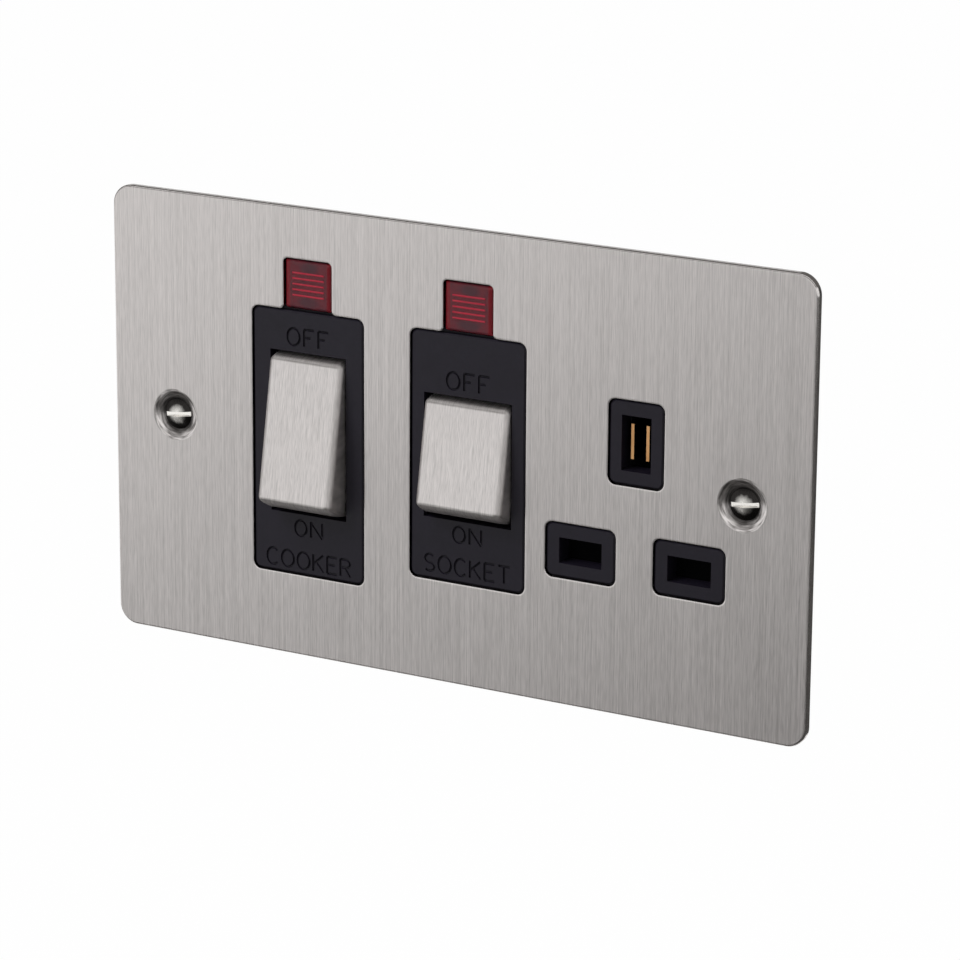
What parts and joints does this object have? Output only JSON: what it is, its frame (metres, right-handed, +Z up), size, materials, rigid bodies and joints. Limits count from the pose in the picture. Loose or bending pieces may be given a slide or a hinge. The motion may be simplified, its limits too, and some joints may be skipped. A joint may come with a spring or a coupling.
{
  "type": "cooker control unit",
  "caption": "Wall-mounted cooker control unit: flat brushed steel plate with a tall cooker rocker switch, a switched shuttered socket and red neon lenses.",
  "frame": {"origin": "on the wall plane, midway between the two fixing screws", "axes": "+X to the right seen from the front, +Y into the wall along the fixing screws, +Z up"},
  "size_m": [0.148, 0.0359, 0.0874],
  "materials": {
    "brushed_steel": "vertical brushed grain",
    "black_moulding": "satin moulded thermoset",
    "housing_moulding": "moulded thermoset",
    "gasket": "matt foam",
    "red_lens": "clear red moulding",
    "nickel": "nickel plate",
    "brass": "drawn brass",
    "copper": "rolled copper alloy",
    "silver": "silver alloy",
    "spring_steel": "drawn wire",
    "zinc_steel": "bright zinc plate",
    "lamp_glass": "clear",
    "resistor": "lacquer",
    "white_nylon": "moulded"
  },
  "bodies": {
    "unit": {"front_plate": "brushed_steel", "plate_gasket": "gasket", "front_moulding": "black_moulding", "rear_housing": "housing_moulding", "mounting_screws": "nickel", "housing_screws": "zinc_steel", "plate_nuts": "zinc_steel", "terminal_screws": "zinc_steel", "line_link": "brass", "neutral_link": "brass", "earth_contact": "copper", "earth_terminal": "brass", "plate_earth_strap": "copper", "shutter_spring": "spring_steel", "fixed_tips": "silver", "supply_terminal_line": "brass", "cooker_terminal_line": "brass", "socket_feed_line": "brass", "socket_contact_line": "copper", "supply_terminal_neutral": "brass", "cooker_terminal_neutral": "brass", "socket_feed_neutral": "brass", "socket_contact_neutral": "copper", "cooker_neon_lens": "red_lens", "cooker_neon_lamp": "lamp_glass", "cooker_neon_resistor": "resistor", "socket_neon_lens": "red_lens", "socket_neon_lamp": "lamp_glass", "socket_neon_resistor": "resistor"},
    "shutter": {"shutter": "black_moulding"},
    "cooker_rocker": {"cooker_rocker_cap": "brushed_steel", "cooker_rocker_body": "black_moulding", "cooker_plunger_line": "white_nylon", "cooker_plunger_spring_line": "spring_steel", "cooker_plunger_neutral": "white_nylon", "cooker_plunger_spring_neutral": "spring_steel"},
    "cooker_blade_line": {"cooker_moving_contact_line": "copper", "cooker_moving_tip_line": "silver"},
    "cooker_blade_neutral": {"cooker_moving_contact_neutral": "copper", "cooker_moving_tip_neutral": "silver"},
    "socket_rocker": {"socket_rocker_cap": "brushed_steel", "socket_rocker_body": "black_moulding", "socket_plunger_line": "white_nylon", "socket_plunger_spring_line": "spring_steel", "socket_plunger_neutral": "white_nylon", "socket_plunger_spring_neutral": "spring_steel"},
    "socket_blade_line": {"socket_moving_contact_line": "copper", "socket_moving_tip_line": "silver"},
    "socket_blade_neutral": {"socket_moving_contact_neutral": "copper", "socket_moving_tip_neutral": "silver"}
  },
  "joints": [
    {"name": "cooker_rocker_turn", "type": "hinge", "parent": "unit", "child": "cooker_rocker", "pos_m": [-0.0306, 0.0015, 0.0001], "axis": [1, 0, 0], "range_deg": [0, 20]},
    {"name": "cooker_blade_line_tip", "type": "hinge", "parent": "unit", "child": "cooker_blade_line", "pos_m": [-0.0356, 0.0139, 0.0001], "axis": [1, 0, 0], "range_deg": [-16.05, 0]},
    {"name": "cooker_blade_neutral_tip", "type": "hinge", "parent": "unit", "child": "cooker_blade_neutral", "pos_m": [-0.0256, 0.0139, 0.0001], "axis": [1, 0, 0], "range_deg": [-16.05, 0]},
    {"name": "socket_rocker_turn", "type": "hinge", "parent": "unit", "child": "socket_rocker", "pos_m": [0.00385, 0.0015, 0.0001], "axis": [1, 0, 0], "range_deg": [0, 20]},
    {"name": "socket_blade_line_tip", "type": "hinge", "parent": "unit", "child": "socket_blade_line", "pos_m": [-0.00115, 0.0139, 0.0001], "axis": [1, 0, 0], "range_deg": [-16.05, 0]},
    {"name": "socket_blade_neutral_tip", "type": "hinge", "parent": "unit", "child": "socket_blade_neutral", "pos_m": [0.00885, 0.0139, 0.0001], "axis": [1, 0, 0], "range_deg": [-16.05, 0]},
    {"name": "shutter_slide", "type": "slide", "parent": "unit", "child": "shutter", "axis": [0, 0, -1], "range_m": [0, 0.0065], "stiffness_N_per_m": 150, "springref_m": -0.004, "deforming": ["shutter_spring"]}
  ],
  "couplings": [
    {"joint": "cooker_blade_line_tip", "follows": "cooker_rocker_turn", "ratio": -0.8},
    {"joint": "cooker_blade_neutral_tip", "follows": "cooker_rocker_turn", "ratio": -0.8},
    {"joint": "socket_blade_line_tip", "follows": "socket_rocker_turn", "ratio": -0.8},
    {"joint": "socket_blade_neutral_tip", "follows": "socket_rocker_turn", "ratio": -0.8}
  ]
}
